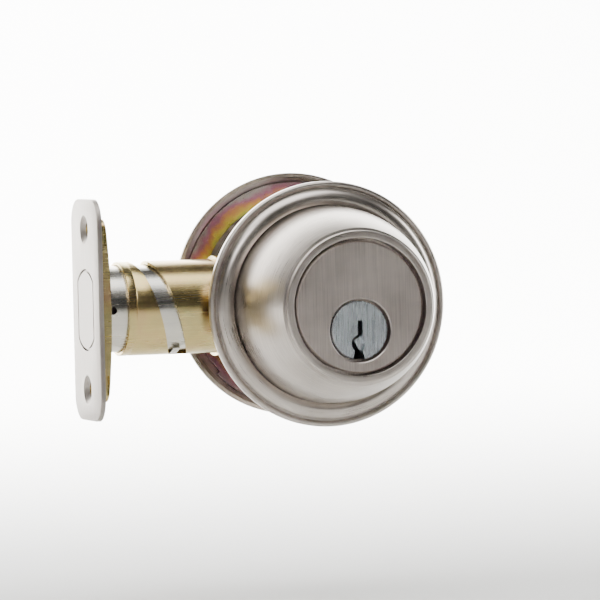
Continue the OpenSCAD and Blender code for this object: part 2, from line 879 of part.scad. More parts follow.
// Inside rose: pressed cover over the support plate, with its rim on the door
module inside_rose() {
    crest = inside_top;
    top_r = rose_r - 9.5;
    side_r = rose_r - 6.2;
    band_top = 2.6;
    color(nickel)
        difference() {
            lathe_in()
                polygon(concat(
                    [[rose_r - rose_wall, 0], [rose_r, 0], [rose_r, 0.8]],
                    arc([rose_r - 0.6, 1.1], 0.6, 20, 120, 4),
                    [[rose_r - 1.6, 1.2], [rose_r - 2.4, 2]],
                    [[rose_r - 3.6, band_top], [rose_r - 5.2, band_top], [side_r, 2]],
                    arc([top_r, crest - 3.2], 3.2, 10, 90, 6),
                    [[0, crest], [0, crest - rose_wall]],
                    arc([top_r, crest - 3.2], 3.2 - rose_wall, 90, 10, 5),
                    [[side_r - 0.8, rose_under], [plate_r + 0.3, rose_under], [rose_r - rose_wall, 0.6]]));
            turn_bar(bushing_r + run_gap, inside_top - 4, inside_top + 2);
            for (s = [-1, 1])
                translate([s * rose_screw_x, 0, inside_lift]) {
                    y_bar(rose_screw_r + 0.2, in_y + 3, in_y + inside_top + 1);
                    translate([0, in_y + inside_top - rose_wall * 0.8, 0])
                        rotate([-90, 0, 0])
                            cylinder(
                                r1 = rose_screw_r + 0.5,
                                r2 = rose_screw_head_r + 0.1,
                                h = rose_wall * 0.8 + eps);
                }
        }
}

// Two screws that hold the inside rose to the support plate
module rose_screws() {
    head_h = rose_wall * 0.8;
    color(nickel)
        for (s = [-1, 1])
            translate([s * rose_screw_x, 0, inside_lift])
                difference() {
                    union() {
                        y_bar(rose_screw_r, in_y - 0.5, in_y + inside_top - head_h / 2);
                        translate([0, in_y + inside_top - head_h, 0])
                            rotate([-90, 0, 0])
                                cylinder(r1 = rose_screw_r + 0.4, r2 = rose_screw_head_r, h = head_h);
                    }
                    for (a = [0, 90])
                        translate([0, in_y + inside_top - 0.5, 0])
                            rotate([0, a, 0])
                                translate([-2, 0, -0.35])
                                    cube([4, 2, 0.7]);
                }
}

// Nylon bushing in the inside rose, in which the spindle turns
module turn_bushing() {
    color("#e6e3da")
        difference() {
            union() {
                turn_bar(bushing_r, inside_top - rose_wall - 0.8, inside_top);
                turn_bar(bushing_flange_r, inside_top + eps, inside_top + bushing_flange_t);
                turn_bar(bushing_r, inside_top - 0.1, inside_top + bushing_flange_t);
            }
            turn_bar(spindle_r + run_gap, 0, inside_top + 3);
        }
}

// Thumbturn: round base with an upright grip
module thumbturn() {
    base_end = turn_base_start + turn_base_t;
    grip_r = turn_grip_t / 2;
    color(nickel)
        difference() {
            union() {
                turn_bar(turn_base_r, turn_base_start, base_end - 0.5);
                turn_bar(turn_base_r - 0.5, turn_base_start, base_end);
                turn_bar(turn_boss_r, turn_base_start, turn_boss_end);
                translate([0, in_y + base_end - 1, axis_z])
                    rotate([-90, 0, 0])
                        linear_extrude(turn_out - 1) {
                            square([turn_grip_t, turn_h - turn_grip_t], center = true);
                            for (s = [-1, 1])
                                translate([0, s * (turn_h / 2 - grip_r)])
                                    circle(grip_r);
                        }
            }
            turn_bar(spindle_r, 0, spindle_end);
            turn_pin_bar(1);
        }
}

// Cross pin through the thumbturn's grip and the spindle
module turn_pin_bar(r) {
    translate([0, in_y + turn_base_start + turn_base_t + 2, axis_z])
        x_bar(r, -turn_boss_r - 1, turn_boss_r + 1);
}

// Spindle of the thumbturn, slotted for the tailpiece's blade and grooved for the clip
module turn_spindle() {
    color(dark_steel)
        difference() {
            turn_bar(spindle_r, spindle_start, spindle_end);
            difference() {
                turn_bar(spindle_r + 1, clip_start - run_gap, clip_start + clip_t + run_gap);
                turn_bar(clip_groove_r, clip_start - 1, clip_start + clip_t + 1);
            }
            translate([-blade_w / 2 - blade_gap, in_y, axis_z - blade_h / 2 - blade_gap])
                cube([blade_w + 2 * blade_gap, spindle_end - 1.5, blade_h + 2 * blade_gap]);
            turn_pin_bar(1);
        }
}

// Roll pin that locks the thumbturn to its spindle
module spindle_pin() {
    pin_y0 = in_y + turn_base_start + turn_base_t + 2;
    pin_in = 1.6;
    pin_half = (turn_boss_r - 0.2 - pin_in) / 2;
    pin_mid = pin_in + pin_half;
    color(steel)
        for (s = [-1, 1])
            translate([0, pin_y0, axis_z])
                x_bar(0.98, s * pin_mid - pin_half, s * pin_mid + pin_half);
}

// Snap ring in the spindle's groove, behind the inside rose
module retaining_ring() {
    color(dark_steel)
        difference() {
            turn_bar(clip_r, clip_start, clip_start + clip_t);
            turn_bar(clip_groove_r + eps, clip_start - 1, clip_start + clip_t + 1);
            translate([-2.5, in_y + clip_start - 1, axis_z - clip_r - 1])
                cube([5, clip_t + 2, clip_r + 1]);
        }
}

// Wave washer that takes up the play between the snap ring and the bushing
module wave_washer() {
    start = clip_start + clip_t + 0.1;
    color(steel)
        difference() {
            turn_bar(clip_r, start, start + washer_t);
            turn_bar(spindle_r + 0.2, start - 1, start + washer_t + 1);
        }
}

outside_rose();
guard_collar();
cylinder_housing();
chamber_cap();
anti_drill_pins();
key_plug();
bottom_pins();
driver_pins();
pin_springs();
plug_cap();
tailpiece();
faceplate();
backing_plate();
front_tube();
slide_ring();
outer_sleeve();
bolt_head();
bolt_roller();
bolt_stem();
bolt_tail();
case_outer();
case_inner();
case_rivets();
crank();
crank_pin();
detent_spring();
support_plate();
through_bolts();
inside_rose();
rose_screws();
turn_bushing();
thumbturn();
turn_spindle();
spindle_pin();
retaining_ring();
wave_washer();
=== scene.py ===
import math

import bmesh
import bpy
from mathutils import Matrix, Vector


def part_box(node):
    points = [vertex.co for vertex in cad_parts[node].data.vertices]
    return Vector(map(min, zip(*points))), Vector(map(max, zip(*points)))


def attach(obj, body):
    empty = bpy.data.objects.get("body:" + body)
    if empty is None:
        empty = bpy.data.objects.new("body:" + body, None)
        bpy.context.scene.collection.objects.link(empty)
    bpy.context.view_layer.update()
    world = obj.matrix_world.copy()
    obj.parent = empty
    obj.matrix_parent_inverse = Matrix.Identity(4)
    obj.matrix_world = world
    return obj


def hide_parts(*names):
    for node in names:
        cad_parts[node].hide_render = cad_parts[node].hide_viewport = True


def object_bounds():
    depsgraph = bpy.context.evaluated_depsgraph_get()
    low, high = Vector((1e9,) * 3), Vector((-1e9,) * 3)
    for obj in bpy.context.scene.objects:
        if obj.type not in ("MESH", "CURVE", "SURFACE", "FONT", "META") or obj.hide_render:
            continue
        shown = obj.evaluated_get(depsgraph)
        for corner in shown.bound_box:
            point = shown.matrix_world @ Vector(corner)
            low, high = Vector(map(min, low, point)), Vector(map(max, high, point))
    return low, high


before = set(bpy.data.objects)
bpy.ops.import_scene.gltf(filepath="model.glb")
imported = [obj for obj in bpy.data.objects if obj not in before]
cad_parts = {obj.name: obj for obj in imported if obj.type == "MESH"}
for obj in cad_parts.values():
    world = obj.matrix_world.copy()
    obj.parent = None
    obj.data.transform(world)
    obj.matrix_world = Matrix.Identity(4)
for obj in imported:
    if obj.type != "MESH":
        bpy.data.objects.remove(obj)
cad_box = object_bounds()


# Studio: a pale floor that sweeps up into a pale wall behind the lock, large soft lights
# above and at both sides, and a dim front, so that satin metal shows broad soft bands.
def linear(hex_colour):
    """sRGB hex to a linear colour with alpha 1."""
    channels = [int(hex_colour[i:i + 2], 16) / 255 for i in (1, 3, 5)]
    return [c / 12.92 if c <= 0.04045 else ((c + 0.055) / 1.055) ** 2.4 for c in channels] + [1]


def add_node(tree, kind, inputs=(), **settings):
    """Adds a node, sets its properties, and fills or links its inputs."""
    node = tree.nodes.new(kind)
    for name, value in settings.items():
        setattr(node, name, value)
    for name, value in dict(inputs).items():
        if isinstance(value, bpy.types.NodeSocket):
            tree.links.new(value, node.inputs[name])
        else:
            node.inputs[name].default_value = value
    return node


def look(eye, target):
    """Turns the -Z axis of a light at eye towards target."""
    return (Vector(target) - Vector(eye)).to_track_quat("-Z", "Y").to_euler()


floor_drop = 0.045
floor_z = cad_box[0].z - floor_drop
sweep_y = 1.4
sweep_r = 0.9
paper = bpy.data.materials.new("studio_paper")
paper.use_nodes = True
paper_shader = paper.node_tree.nodes["Principled BSDF"]
paper_shader.inputs["Base Color"].default_value = linear("#D2D2D0")
paper_shader.inputs["Roughness"].default_value = 0.9
paper_curve = [(-4.0, floor_z), (sweep_y, floor_z)]
for step in range(1, 17):
    turn = math.radians(90) * step / 16
    paper_curve.append((sweep_y + sweep_r * math.sin(turn), floor_z + sweep_r * (1 - math.cos(turn))))
paper_curve.append((sweep_y + sweep_r, 4.0))
paper_mesh = bpy.data.meshes.new("studio_paper")
paper_mesh.from_pydata(
    [(side, y, z) for y, z in paper_curve for side in (-5, 5)], [],
    [(2 * i, 2 * i + 1, 2 * i + 3, 2 * i + 2) for i in range(len(paper_curve) - 1)])
paper_mesh.materials.append(paper)
paper_mesh.shade_smooth()
studio_floor = bpy.data.objects.new("studio_floor", paper_mesh)
bpy.context.collection.objects.link(studio_floor)

for name, eye, width, height, power in [
        ("light_above", (-0.12, -0.22, 0.80), 0.8, 0.7, 8),
        ("light_left", (-0.60, -0.80, 0.64), 0.4, 0.35, 4),
        ("light_right", (1.05, -0.05, 0.20), 0.35, 0.9, 12),
        ("light_back", (0.1, 0.9, 1.3), 3.0, 1.2, 760)]:
    lamp = bpy.data.lights.new(name, "AREA")
    lamp.shape = "RECTANGLE"
    lamp.size = width
    lamp.size_y = height
    lamp.energy = power
    holder = bpy.data.objects.new(name, lamp)
    holder.location = eye
    target = (0, 2.3, 0.4) if name == "light_back" else (0, 0, 0)
    holder.rotation_euler = look(eye, target)
    bpy.context.collection.objects.link(holder)

world = bpy.data.worlds.new("studio_air")
world.use_nodes = True
world.node_tree.nodes["Background"].inputs["Color"].default_value = linear("#F3F5F8")
world.node_tree.nodes["Background"].inputs["Strength"].default_value = 0.05
bpy.context.scene.world = world

# Camera: a long lens left of the keyed side and just above level, rolled a little.
# It stands well back, so the lock shows almost no perspective.
camera_azimuth = math.radians(-17.5)
camera_elevation = math.radians(1.95)
camera_roll = math.radians(1.34)
camera_distance = 1.5
aim_right = -0.00224
aim_up = 0.00069
forward = Vector((-math.sin(camera_azimuth) * math.cos(camera_elevation),
                  math.cos(camera_azimuth) * math.cos(camera_elevation),
                  -math.sin(camera_elevation)))
right = forward.cross(Vector((0, 0, 1))).normalized()
up = right.cross(forward)
rolled_right = right * math.cos(camera_roll) - up * math.sin(camera_roll)
rolled_up = right * math.sin(camera_roll) + up * math.cos(camera_roll)
lens = bpy.data.cameras.new("camera")
lens.lens = 344.8
lens.sensor_width = 36
camera = bpy.data.objects.new("camera", lens)
turned = Matrix((rolled_right, rolled_up, -forward)).transposed().to_4x4()
camera.matrix_world = (
    Matrix.Translation(right * aim_right + up * aim_up - forward * camera_distance) @ turned)
bpy.context.collection.objects.link(camera)
bpy.context.scene.camera = camera


# Outside rose: brass disc, pressed and spun, with a bead at its rim and a rounded band.
# It is brushed round its axis and plated in satin nickel under a clear lacquer.
def brushed_metal(name, low, high, roughness, run, pitch=0.3, depth=0.25, stain=None, stain_size=14):
    """Metal brushed along run: "round" the Y axis, or along "x" or "z".
    pitch is the spacing of the brush lines in mm; real ones are near 0.05 mm, too fine to show."""
    material = bpy.data.materials.new(name)
    material.use_nodes = True
    tree = material.node_tree
    shader = tree.nodes["Principled BSDF"]
    shader.inputs["Metallic"].default_value = 1
    place = add_node(tree, "ShaderNodeTexCoord").outputs["Object"]
    fine = 1000 / pitch
    if run == "round":
        # distance from the axis and along it make the lines; the unit radius only breaks them up
        parts = add_node(tree, "ShaderNodeSeparateXYZ", {0: place})
        flat = add_node(tree, "ShaderNodeCombineXYZ", {0: parts.outputs[0], 2: parts.outputs[2]})
        reach = add_node(tree, "ShaderNodeVectorMath", {0: flat.outputs[0]}, operation="LENGTH")
        unit = add_node(tree, "ShaderNodeVectorMath", {0: flat.outputs[0]}, operation="NORMALIZE")
        broken = add_node(tree, "ShaderNodeVectorMath", {0: unit.outputs[0], 3: 3.0}, operation="SCALE")
        line = add_node(tree, "ShaderNodeCombineXYZ", {0: reach.outputs["Value"], 1: parts.outputs[1]})
        scaled = add_node(tree, "ShaderNodeVectorMath", {0: line.outputs[0], 3: fine}, operation="SCALE")
        pattern = add_node(tree, "ShaderNodeVectorMath",
                           {0: broken.outputs[0], 1: scaled.outputs[0]}, operation="ADD").outputs[0]
    else:
        along = 60
        scale = (along, fine, fine) if run == "x" else (fine, fine, along)
        pattern = add_node(tree, "ShaderNodeMapping", {"Vector": place, "Scale": scale}).outputs[0]
    lines = add_node(tree, "ShaderNodeTexNoise",
                     {"Vector": pattern, "Scale": 1.0, "Detail": 2.0, "Roughness": 0.6})
    cloud = add_node(tree, "ShaderNodeTexNoise",
                     {"Vector": place, "Scale": 1000 / stain_size, "Detail": 3.0, "Roughness": 0.55})
    blend = add_node(tree, "ShaderNodeMath",
                     {0: lines.outputs["Fac"], 1: cloud.outputs["Fac"]}, operation="ADD")
    half = add_node(tree, "ShaderNodeMath", {0: blend.outputs[0], 1: 0.5}, operation="MULTIPLY")
    tone = add_node(tree, "ShaderNodeValToRGB", {"Fac": half.outputs[0]})
    tone.color_ramp.elements[0].position = 0.34
    tone.color_ramp.elements[0].color = linear(low)
    tone.color_ramp.elements[1].position = 0.66
    tone.color_ramp.elements[1].color = linear(high)
    colour = tone.outputs["Color"]
    if stain:
        # thin passivation film: its tint wanders over the plate in soft patches
        film = add_node(tree, "ShaderNodeTexNoise",
                        {"Vector": place, "Scale": 1000 / (stain_size * 1.7), "Detail": 4.0,
                         "Roughness": 0.6, "Distortion": 0.6})
        tint = add_node(tree, "ShaderNodeValToRGB", {"Fac": film.outputs["Fac"]})
        tint.color_ramp.elements[0].position = 0.32
        tint.color_ramp.elements[0].color = linear(stain[0])
        tint.color_ramp.elements[1].position = 0.68
        tint.color_ramp.elements[1].color = linear(stain[2])
        tint.color_ramp.elements.new(0.5).color = linear(stain[1])
        mix = add_node(tree, "ShaderNodeMix", {0: 0.55, 6: colour, 7: tint.outputs["Color"]},
                       data_type="RGBA", blend_type="MIX")
        colour = mix.outputs[2]
    tree.links.new(colour, shader.inputs["Base Color"])
    rough = add_node(tree, "ShaderNodeMapRange",
                     {"Value": half.outputs[0], "From Min": 0.3, "From Max": 0.7,
                      "To Min": roughness - 0.05, "To Max": roughness + 0.07})
    tree.links.new(rough.outputs["Result"], shader.inputs["Roughness"])
    bump = add_node(tree, "ShaderNodeBump",
                    {"Height": lines.outputs["Fac"], "Strength": depth, "Distance": 0.00003})
    tree.links.new(bump.outputs["Normal"], shader.inputs["Normal"])
    return material


def finish_node(material, *nodes):
    """Gives CAD nodes their finish."""
    for name in nodes:
        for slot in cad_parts[name].material_slots:
            slot.material = material


satin_nickel_spun = brushed_metal("satin_nickel_spun", "#A8A098", "#C9C1B9", 0.3, "round")
finish_node(satin_nickel_spun, "outside_rose")


# Guard collar: brass, turned to a tapered dome with a raised lip, plated like the rose.
# It turns freely on the housing, so that a wrench only spins it.
def to_mesh(name, builder, material, sharp_angle=32):
    """Turns a bmesh into an object, with outward normals and crisp edges past an angle."""
    bmesh.ops.remove_doubles(builder, verts=builder.verts, dist=1e-7)
    bmesh.ops.recalc_face_normals(builder, faces=builder.faces)
    for face in builder.faces:
        face.smooth = True
    for edge in builder.edges:
        if len(edge.link_faces) == 2:
            edge.smooth = edge.calc_face_angle(0) < math.radians(sharp_angle)
    mesh = bpy.data.meshes.new(name)
    builder.to_mesh(mesh)
    builder.free()
    mesh.materials.append(material)
    piece = bpy.data.objects.new(name, mesh)
    bpy.context.collection.objects.link(piece)
    return piece


def round_corners(corners, steps=6):
    """Outline in mm from corners (a, b) or (a, b, radius), each radius rounded off."""
    outline = []
    count = len(corners)
    for i, corner in enumerate(corners):
        here = Vector(corner[:2])
        radius = corner[2] if len(corner) > 2 else 0
        before = Vector(corners[i - 1][:2]) - here
        after = Vector(corners[(i + 1) % count][:2]) - here
        reach = min(radius, before.length * 0.49, after.length * 0.49)
        if reach < 1e-4:
            outline.append(tuple(here))
            continue
        start = here + before.normalized() * reach
        end = here + after.normalized() * reach
        for k in range(steps + 1):
            t = k / steps
            outline.append(tuple(start * (1 - t) ** 2 + here * 2 * t * (1 - t) + end * t ** 2))
    return outline


def lathe(name, outline, seat_y, outward, material, centre=(0, 0), around=160, sharp_angle=32):
    """Turns an outline of (radius, height) in mm about an axis along Y.
    seat_y is where height 0 lies, outward is -1 outdoors and 1 indoors."""
    builder = bmesh.new()
    rings = []
    for radius, height in outline:
        y = seat_y + outward * height / 1000
        if radius < 1e-6:
            rings.append([builder.verts.new((centre[0], y, centre[1]))])
            continue
        rings.append([builder.verts.new((centre[0] + radius / 1000 * math.cos(a), y,
                                         centre[1] + radius / 1000 * math.sin(a)))
                      for a in [math.tau * k / around for k in range(around)]])
    for i, ring in enumerate(rings):
        following = rings[(i + 1) % len(rings)]
        if len(ring) == 1 and len(following) == 1:
            continue
        for k in range(around):
            m = (k + 1) % around
            if len(ring) == 1:
                builder.faces.new((ring[0], following[k], following[m]))
            elif len(following) == 1:
                builder.faces.new((ring[k], ring[m], following[0]))
            else:
                builder.faces.new((ring[k], ring[m], following[m], following[k]))
    return to_mesh(name, builder, material, sharp_angle)


collar_low, collar_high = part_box("guard_collar")
rose_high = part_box("outside_rose")[1]
seat_out = rose_high.y
collar_r = collar_high.x * 1000
collar_foot = (seat_out - collar_high.y) * 1000
collar_top = (seat_out - collar_low.y) * 1000
lip_r = 20
lip_h = 1.1
lip_bore = 17.6
lip_depth = 3.4
collar_wall = 1.7
straight_foot = 0.8
dome_h = collar_top - lip_h - collar_foot - straight_foot
dome_r = ((collar_r - lip_r) ** 2 + dome_h ** 2) / (2 * (collar_r - lip_r))
dome_turn = math.asin(dome_h / dome_r)


def dome(radius, start, end, steps):
    """Arc of the dome's wall at a radius from its own centre."""
    return [(collar_r - dome_r + radius * math.cos(start + (end - start) * k / steps),
             collar_foot + straight_foot + radius * math.sin(start + (end - start) * k / steps))
            for k in range(steps + 1)]


inner_dome = dome(dome_r - collar_wall, dome_turn * 0.62, 0, 24)
housing_r = 18.4
collar_outline = (
    [(collar_r - collar_wall, collar_foot), (collar_r - 0.15, collar_foot),
     (collar_r, collar_foot + 0.15)]
    + dome(dome_r, 0, dome_turn * 0.985, 48)
    + round_corners([(lip_r - 0.5, collar_top - lip_h + 0.1, 0.2), (lip_r - 0.5, collar_top, 0.5),
                     (lip_bore, collar_top, 0.22), (lip_bore, collar_top - lip_depth),
                     (housing_r, collar_top - lip_depth), (housing_r, inner_dome[0][1])])
    + inner_dome)
collar = lathe("guard_collar_turned", collar_outline, seat_out, -1, satin_nickel_spun, around=192)
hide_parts("guard_collar")
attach(collar, "guard")

# Cylinder housing: cast brass, its face brushed upright and plated in satin nickel.
# The pin chambers, the drilled posts for the through bolts and the plug's bore are cut in it.
satin_nickel_upright = brushed_metal("satin_nickel_upright", "#A49A94", "#C6BCB5", 0.33, "z",
                                     pitch=0.28, depth=0.4)
finish_node(satin_nickel_upright, "cylinder_housing")

# Key plug: brass, plated in a cooler and brighter nickel, its face brushed upright.
# It turns in the housing when the right key lifts all the pins to the edge of the plug.
plug_nickel = brushed_metal("bright_nickel_upright", "#A9B0B6", "#D3D9DE", 0.27, "z",
                            pitch=0.26, depth=0.45)
finish_node(plug_nickel, "key_plug")

# Pins: brass bottom pins, steel drivers, a brass strip over the chambers, and two hardened
# pins beside them. They are turned or cut from drawn stock and left as cut.
drawn_brass = brushed_metal("drawn_brass", "#B8924C", "#D9B66C", 0.28, "round", depth=0.2)
drawn_steel = brushed_metal("drawn_steel", "#9A9C9E", "#C2C4C6", 0.26, "round", depth=0.2)
hardened_steel = brushed_metal("hardened_steel", "#4E4F51", "#6E7073", 0.36, "round", depth=0.2)
finish_node(drawn_brass, "bottom_pins", "chamber_cap")
finish_node(drawn_steel, "driver_pins")
finish_node(hardened_steel, "anti_drill_pins")

# Pin springs: fine spring-steel wire, drawn bright and coiled to fit the chambers.
# One stands on each driver pin and pushes it down into the plug.
driver_count = 6
spring_low, spring_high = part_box("pin_springs")
wire_r = 0.00018
coil_r = (spring_high.x - spring_low.x) / 2 - wire_r
spring_tree = bpy.data.node_groups.new("coiled_springs", "GeometryNodeTree")
spring_tree.interface.new_socket("Geometry", in_out="OUTPUT", socket_type="NodeSocketGeometry")
for label in ("Coil radius", "Wire radius", "Height", "Pitch"):
    spring_tree.interface.new_socket(label, in_out="INPUT", socket_type="NodeSocketFloat")
for label in ("Springs", "Turns"):
    spring_tree.interface.new_socket(label, in_out="INPUT", socket_type="NodeSocketInt")
spring_in = add_node(spring_tree, "NodeGroupInput")
spiral = add_node(spring_tree, "GeometryNodeCurveSpiral",
                  {"Resolution": 20, "Rotations": spring_in.outputs["Turns"],
                   "Start Radius": spring_in.outputs["Coil radius"],
                   "End Radius": spring_in.outputs["Coil radius"],
                   "Height": spring_in.outputs["Height"]})
wire = add_node(spring_tree, "GeometryNodeCurvePrimitiveCircle",
                {"Resolution": 10, "Radius": spring_in.outputs["Wire radius"]})
coil = add_node(spring_tree, "GeometryNodeCurveToMesh",
                {"Curve": spiral.outputs["Curve"], "Profile Curve": wire.outputs["Curve"],
                 "Fill Caps": True})
gap = add_node(spring_tree, "ShaderNodeCombineXYZ", {1: spring_in.outputs["Pitch"]})
row = add_node(spring_tree, "GeometryNodeMeshLine",
               {"Count": spring_in.outputs["Springs"], "Offset": gap.outputs[0]})
stand = add_node(spring_tree, "GeometryNodeInstanceOnPoints",
                 {"Points": row.outputs["Mesh"], "Instance": coil.outputs["Mesh"]})
real = add_node(spring_tree, "GeometryNodeRealizeInstances", {"Geometry": stand.outputs["Instances"]})
spring_wire = brushed_metal("spring_steel_wire", "#9C9EA1", "#C4C6C8", 0.25, "x", depth=0.15)
dress = add_node(spring_tree, "GeometryNodeSetMaterial",
                 {"Geometry": real.outputs["Geometry"], "Material": spring_wire})
add_node(spring_tree, "NodeGroupOutput", {0: dress.outputs["Geometry"]})


def grow(name, tree, values, place, material):
    """Runs a Geometry Nodes tree once and keeps its result as a plain mesh, put in place."""
    seed = bpy.data.objects.new(name + "_seed", bpy.data.meshes.new(name + "_seed"))
    bpy.context.collection.objects.link(seed)
    modifier = seed.modifiers.new("grow", "NODES")
    modifier.node_group = tree
    for item in tree.interface.items_tree:
        if item.in_out == "INPUT":
            modifier[item.identifier] = values[item.name]
    bpy.context.view_layer.update()
    mesh = bpy.data.meshes.new_from_object(seed.evaluated_get(bpy.context.evaluated_depsgraph_get()))
    bpy.data.objects.remove(seed)
    mesh.transform(place)
    builder = bmesh.new()
    builder.from_mesh(mesh)
    return to_mesh(name, builder, material)


spring_pitch = (spring_high.y - spring_low.y - (spring_high.x - spring_low.x)) / (driver_count - 1)
springs = grow("pin_springs_coiled", spring_tree,
               {"Coil radius": coil_r, "Wire radius": wire_r,
                "Height": spring_high.z - spring_low.z - 2 * wire_r, "Pitch": spring_pitch,
                "Springs": driver_count, "Turns": 9},
               Matrix.Translation((0, spring_low.y + (spring_high.x - spring_low.x) / 2,
                                   spring_low.z + wire_r)), spring_wire)
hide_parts("pin_springs")
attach(springs, "lock_body")

# Plug cap, tailpiece, crank and the bolt's stem and tail: pressed or cut steel, barrel-plated
# in bright zinc, which leaves a cool grey with a faint cloudy film.
bright_zinc = brushed_metal("bright_zinc_plate", "#9EA0A3", "#C8CACC", 0.3, "x", depth=0.15,
                            stain=("#A7ABB3", "#BDBEBC", "#B4B0A6"), stain_size=9)
finish_node(bright_zinc, "plug_cap", "tailpiece", "crank", "bolt_stem", "bolt_tail", "case_rivets")
finish_node(hardened_steel, "crank_pin", "bolt_roller", "slide_ring")
finish_node(drawn_steel, "detent_spring")


# Faceplate: a steel plate, blanked, its front edge rolled, with a hole for the bolt and two
# countersunk screw holes. It is brushed along its length and plated in satin nickel.
def carve(piece, tools, operation="DIFFERENCE", sharp_angle=32):
    """Cuts closed tools out of a piece, or joins them to it, and deletes the tools."""
    for tool in tools:
        modifier = piece.modifiers.new("carve", "BOOLEAN")
        modifier.operation = operation
        modifier.solver = "EXACT"
        modifier.object = tool
    bpy.context.view_layer.update()
    mesh = bpy.data.meshes.new_from_object(
        piece.evaluated_get(bpy.context.evaluated_depsgraph_get()))
    name = piece.name
    material = piece.data.materials[0]
    bpy.data.objects.remove(piece)
    for tool in tools:
        bpy.data.objects.remove(tool)
    builder = bmesh.new()
    builder.from_mesh(mesh)
    for face in builder.faces:
        face.material_index = 0
    return to_mesh(name, builder, material, sharp_angle)


def stack(name, loops, material, sharp_angle=32):
    """Closed body through a list of loops of points in metres, capped at both ends."""
    builder = bmesh.new()
    rings = [[builder.verts.new(point) for point in loop] for loop in loops]
    for ring, following in zip(rings, rings[1:]):
        for k in range(len(ring)):
            m = (k + 1) % len(ring)
            builder.faces.new((ring[k], ring[m], following[m], following[k]))
    builder.faces.new(rings[0])
    builder.faces.new(rings[-1])
    return to_mesh(name, builder, material, sharp_angle)


def plate_loop(x, width, height, radius, steps=14):
    """Rounded rectangle across X, sizes in metres."""
    loop = []
    for quarter, (sy, sz) in enumerate([(1, 1), (-1, 1), (-1, -1), (1, -1)]):
        for k in range(steps + 1):
            a = math.pi / 2 * (quarter + k / steps)
            loop.append((x, sy * (width / 2 - radius) + radius * math.cos(a),
                         sz * (height / 2 - radius) + radius * math.sin(a)))
    return loop


def round_loop(x, radius, centre_z=0.0, flats=None, around=96):
    """Circle across X, cut to a half width by two flats if flats is given."""
    loop = []
    for k in range(around):
        a = math.tau * k / around
        y = radius * math.cos(a)
        if flats is not None:
            y = max(-flats, min(flats, y))
        loop.append((x, y, centre_z + radius * math.sin(a)))
    return loop


face_low, face_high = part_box("faceplate")
bolt_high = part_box("bolt_head")[1]
face_w = face_high.y - face_low.y
face_h = face_high.z - face_low.z
face_x0 = face_low.x
face_x1 = face_high.x
corner_r = 0.00635
edge_r = 0.0004
faceplate_plating = brushed_metal("satin_nickel_plate", "#938C85", "#ADA6A0", 0.46, "z",
                                  pitch=0.35, depth=0.2)
faceplate = stack("faceplate_blanked", [
    plate_loop(face_x0 + depth, face_w - 2 * inset, face_h - 2 * inset, corner_r - inset)
    for depth, inset in [(0, edge_r), (edge_r * 0.3, edge_r * 0.3), (edge_r, 0),
                         (face_x1 - face_x0, 0)]], faceplate_plating)
screw_span = 0.0413
screw_r = 0.0022
sink_r = screw_r + 0.0016
bolt_gap = 0.00025
hole_r = bolt_high.z + bolt_gap
hole_flat = bolt_high.y + bolt_gap
tools = [stack("bolt_hole", [round_loop(face_x0 - 0.001, hole_r, flats=hole_flat),
                             round_loop(face_x1 + 0.001, hole_r, flats=hole_flat)],
               faceplate_plating)]
for side in (-1, 1):
    z = side * screw_span / 2
    tools.append(stack("screw_hole", [
        round_loop(face_x0 - 0.0002, sink_r + 0.0003, z, around=64),
        round_loop(face_x0 + 0.0011, screw_r, z, around=64),
        round_loop(face_x1 + 0.001, screw_r, z, around=64)], faceplate_plating))
faceplate = carve(faceplate, tools)
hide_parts("faceplate")
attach(faceplate, "front_end")

# Bolt: a steel bar with two flats, drilled from behind, its end chamfered.
# It is plated a little darker than the faceplate and stands level with it when drawn in.
bolt_plating = brushed_metal("satin_nickel_bolt", "#827B75", "#9A938D", 0.42, "z", pitch=0.3,
                             depth=0.3)
finish_node(bolt_plating, "bolt_head")

# Front tube: drawn steel tube in bright zinc, with a drilled hole and a lanced tab.
# It carries the faceplate and slides and turns in the outer sleeve.
tube_zinc = brushed_metal("bright_zinc_tube", "#B5B1A8", "#D8D5CD", 0.24, "x", pitch=0.5, depth=0.12,
                          stain=("#C9C5BC", "#D6D0C0", "#BFC0BE"), stain_size=10)
finish_node(tube_zinc, "front_tube")

# Backing plate and the two halves of the case: pressed steel in pale yellow zinc.
# Their chromate film drifts from straw to a faint pink and a faint green.
yellow_zinc = brushed_metal("yellow_zinc_plate", "#B09A62", "#CDB981", 0.24, "x", pitch=0.5,
                            depth=0.12, stain=("#A9A878", "#C9B47C", "#C79F7E"), stain_size=8)
finish_node(yellow_zinc, "backing_plate", "case_outer", "case_inner")

# Outer sleeve: steel tube in the same yellow zinc, fixed in the end of the case.
# A helical slot is cut through its wall for the front tube's tab.
sleeve_low, sleeve_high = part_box("outer_sleeve")
sleeve_r = sleeve_high.z
sleeve_wall = 0.0008
sleeve_bore = sleeve_r - sleeve_wall
mouth_edge = 0.00015
bead_x = sleeve_low.x + 0.0022
bead_w = 0.0004
slot_mid = sleeve_low.x + 0.0104
slot_rise = 0.000062
slot_half = 0.0024
slot_from, slot_bend, slot_to = -84, 80, 127
sleeve = stack("outer_sleeve_tube", [round_loop(x, r, around=224) for x, r in [
    (sleeve_low.x, sleeve_r - mouth_edge), (sleeve_low.x + mouth_edge, sleeve_r),
    (bead_x - bead_w, sleeve_r), (bead_x, sleeve_r - mouth_edge),
    (bead_x + bead_w, sleeve_r), (sleeve_high.x, sleeve_r)]], yellow_zinc)
bore = stack("sleeve_bore", [round_loop(sleeve_low.x - 0.001, sleeve_bore, around=224),
                             round_loop(sleeve_high.x + 0.001, sleeve_bore, around=224)],
             yellow_zinc)
slot_loops = []
